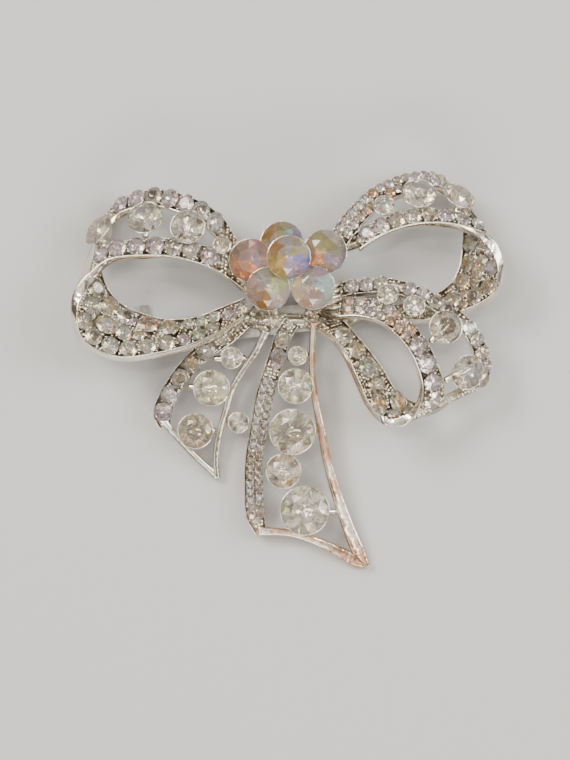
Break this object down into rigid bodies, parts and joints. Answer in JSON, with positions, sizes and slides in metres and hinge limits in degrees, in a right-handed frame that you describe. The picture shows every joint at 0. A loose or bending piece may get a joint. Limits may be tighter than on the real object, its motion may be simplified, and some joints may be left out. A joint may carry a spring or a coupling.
{
  "type": "bow brooch",
  "caption": "Bow-shaped brooch of bright metal ribbon with stone-set loops and tails, iridescent stones at the knot and a bar pin behind.",
  "frame": {"origin": "on the surface that the brooch lies on, under the middle of the box round it", "axes": "+Z out of the face of the brooch, +Y towards the top of the bow, +X towards the upper right loop"},
  "size_m": [0.0629, 0.0581, 0.0135],
  "materials": {
    "silver_metal": "bright cast metal, polished",
    "pin_steel": "drawn steel, satin",
    "clear_stone": "cut glass, foiled back",
    "iridescent_stone": "cut glass with an iridescent coat, foiled back"
  },
  "bodies": {
    "root": {"bow_frame": "silver_metal", "pin": "pin_steel", "knot_stone_top": "iridescent_stone", "knot_stone_left": "iridescent_stone", "knot_stone_right": "iridescent_stone", "knot_stone_low_left": "iridescent_stone", "knot_stone_low_right": "iridescent_stone", "knot_stone_centre": "iridescent_stone", "left_loop_stone_1": "clear_stone", "left_loop_stone_2": "clear_stone", "left_loop_stone_3": "clear_stone", "left_loop_stone_4": "clear_stone", "right_loop_stone_1": "clear_stone", "right_loop_stone_2": "clear_stone", "right_loop_stone_3": "clear_stone", "lower_loop_stone_1": "clear_stone", "lower_loop_stone_2": "clear_stone", "lower_loop_stone_3": "clear_stone", "lower_loop_stone_4": "clear_stone", "left_tail_stone_1": "clear_stone", "left_tail_stone_2": "clear_stone", "left_tail_stone_3": "clear_stone", "left_tail_stone_4": "clear_stone", "right_tail_stone_1": "clear_stone", "right_tail_stone_2": "clear_stone", "right_tail_stone_3": "clear_stone", "right_tail_stone_4": "clear_stone", "right_tail_stone_5": "clear_stone", "left_rail_stones": "clear_stone", "left_inner_stones": "clear_stone", "right_rail_stones": "clear_stone", "right_inner_stones": "clear_stone", "lower_rail_stones": "clear_stone", "lower_band_stones": "clear_stone", "lower_inner_stones": "clear_stone", "left_tail_rail_stones": "clear_stone", "right_tail_rail_stones": "clear_stone"}
  },
  "joints": []
}
